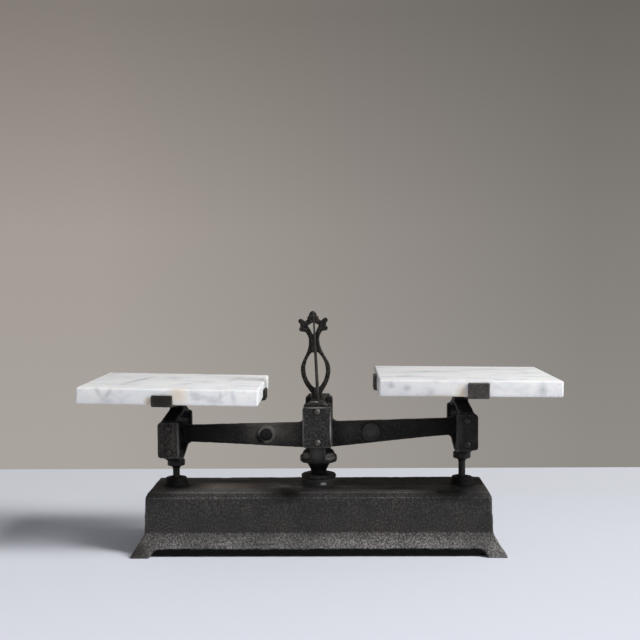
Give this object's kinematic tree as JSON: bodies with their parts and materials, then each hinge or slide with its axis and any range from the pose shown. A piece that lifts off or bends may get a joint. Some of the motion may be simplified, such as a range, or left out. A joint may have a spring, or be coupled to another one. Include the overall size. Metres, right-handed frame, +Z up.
{
  "type": "counter balance scale",
  "caption": "Free-standing counter balance: a beam on knife edges carries marble plates on upright carriages over a hollow cast base, with a lyre-shaped index and needle.",
  "frame": {"origin": "centre of the object's footprint, on the surface that it stands on", "axes": "+X along the beam to the right plate, -Y to the front, +Z up"},
  "size_m": [0.5395, 0.1734, 0.2744],
  "materials": {
    "cast_iron": "sand cast, blackened, coarse grain",
    "cover_iron": "smooth, blackened, edges rubbed bright",
    "cross_iron": "wrought, blackened, lightly rusted",
    "screw_steel": "worn, slotted",
    "hard_steel": "ground",
    "dark_steel": "turned, blackened",
    "needle_steel": "drawn, dull",
    "marble": "polished, white with soft grey veins"
  },
  "bodies": {
    "root": {"base_casting": "cast_iron", "fork_column": "cast_iron", "column_bolt": "dark_steel", "column_washer": "dark_steel", "fork_bearings": "hard_steel", "front_fork_cover": "cover_iron", "rear_fork_cover": "cover_iron", "fork_cover_screws": "screw_steel", "index_frame": "cast_iron", "index_screws": "screw_steel", "stay_bracket": "cast_iron", "stay_pivot_pin": "dark_steel"},
    "beam": {"beam": "cast_iron", "middle_knife": "hard_steel", "left_end_knife": "hard_steel", "right_end_knife": "hard_steel", "needle": "needle_steel"},
    "left_carriage": {"left_carriage_frame": "cast_iron", "left_carriage_bearings": "hard_steel", "left_front_cover": "cover_iron", "left_rear_cover": "cover_iron", "left_cover_screws": "screw_steel", "left_stem": "dark_steel", "left_stem_nut": "dark_steel", "left_stem_fork": "cast_iron", "left_fork_pin": "dark_steel", "left_plate_cross": "cross_iron", "left_cross_screw": "dark_steel"},
    "right_carriage": {"right_carriage_frame": "cast_iron", "right_carriage_bearings": "hard_steel", "right_front_cover": "cover_iron", "right_rear_cover": "cover_iron", "right_cover_screws": "screw_steel", "right_stem": "dark_steel", "right_stem_nut": "dark_steel", "right_stem_fork": "cast_iron", "right_fork_pin": "dark_steel", "right_plate_cross": "cross_iron", "right_cross_screw": "dark_steel"},
    "left_plate": {"left_marble_plate": "marble"},
    "right_plate": {"right_marble_plate": "marble"},
    "stay": {"stay_bar": "cast_iron"}
  },
  "joints": [
    {"name": "beam_tilt", "type": "hinge", "parent": "root", "child": "beam", "pos_m": [0, 0, 0.1405], "axis": [0, 1, 0], "range_deg": [0, 2.6]},
    {"name": "stay_tilt", "type": "hinge", "parent": "root", "child": "stay", "pos_m": [0, 0, 0.0375], "axis": [0, 1, 0], "range_deg": [0, 2.6]},
    {"name": "left_carriage_pivot", "type": "hinge", "parent": "beam", "child": "left_carriage", "pos_m": [-0.16746, 0, 0.1367], "axis": [0, 1, 0], "range_deg": [-2.6, 0]},
    {"name": "left_plate_lift", "type": "slide", "parent": "left_carriage", "child": "left_plate", "axis": [0.0227, 0, 0.9997], "range_m": [0, 0.03]},
    {"name": "right_carriage_pivot", "type": "hinge", "parent": "beam", "child": "right_carriage", "pos_m": [0.16746, 0, 0.1443], "axis": [0, 1, 0], "range_deg": [-2.6, 0]},
    {"name": "right_plate_lift", "type": "slide", "parent": "right_carriage", "child": "right_plate", "axis": [0.0122, 0, 0.9999], "range_m": [0, 0.03]}
  ],
  "couplings": [
    {"joint": "left_carriage_pivot", "follows": "beam_tilt", "ratio": -1},
    {"joint": "right_carriage_pivot", "follows": "beam_tilt", "ratio": -1},
    {"joint": "stay_tilt", "follows": "beam_tilt", "ratio": 1}
  ]
}
